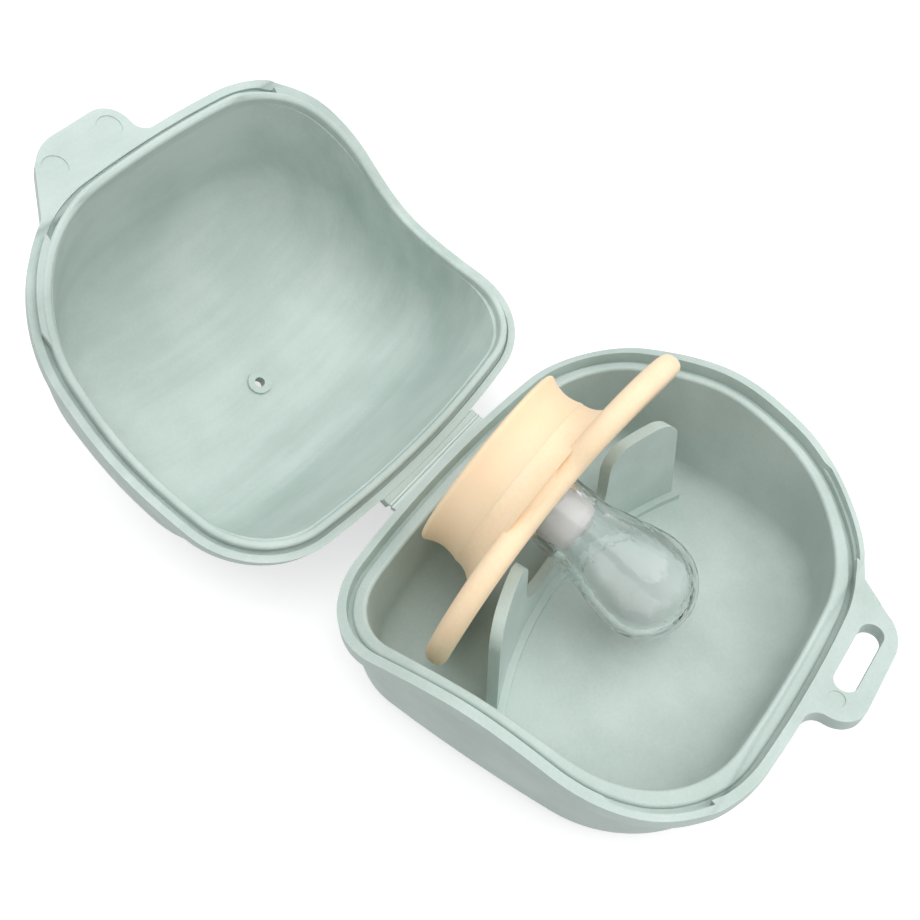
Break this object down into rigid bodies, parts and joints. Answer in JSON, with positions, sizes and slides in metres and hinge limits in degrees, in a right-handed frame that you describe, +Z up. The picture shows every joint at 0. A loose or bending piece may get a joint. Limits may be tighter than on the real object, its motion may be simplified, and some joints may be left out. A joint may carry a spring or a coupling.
{
  "type": "pacifier sterilizer case",
  "caption": "Open clamshell case with an arched rim, living hinge, carry loop, thumb tab and vented lid, holding a pacifier across a saddle-shaped divider.",
  "frame": {"origin": "middle of the flat foot of the base, on the table", "axes": "+Z up, +Y from the hinge towards the loop and tab at the front, +X to the right seen from the front's opposite side, along the hinge line"},
  "size_m": [0.062, 0.1166, 0.05],
  "materials": {
    "case_plastic": "satin moulded polypropylene, sage green",
    "shield_plastic": "satin, pale peach",
    "teat_silicone": "clear silicone, slightly smoky",
    "plug_plastic": "frosted natural plastic"
  },
  "bodies": {
    "base": {"base_shell": "case_plastic", "hinge_strip": "case_plastic"},
    "lid": {"lid_shell": "case_plastic"},
    "pacifier": {"pacifier_shield": "shield_plastic", "pacifier_cap": "shield_plastic", "pacifier_teat": "teat_silicone", "teat_plug": "plug_plastic"}
  },
  "joints": [
    {"name": "lid_hinge", "type": "hinge", "parent": "base", "child": "lid", "pos_m": [0, -0.02915, 0.01265], "axis": [1, 0, 0], "range_deg": [-144.4, 0]},
    {"name": "pacifier_lift", "type": "slide", "parent": "base", "child": "pacifier", "axis": [0, 0, 1], "range_m": [0, 0.06]}
  ]
}
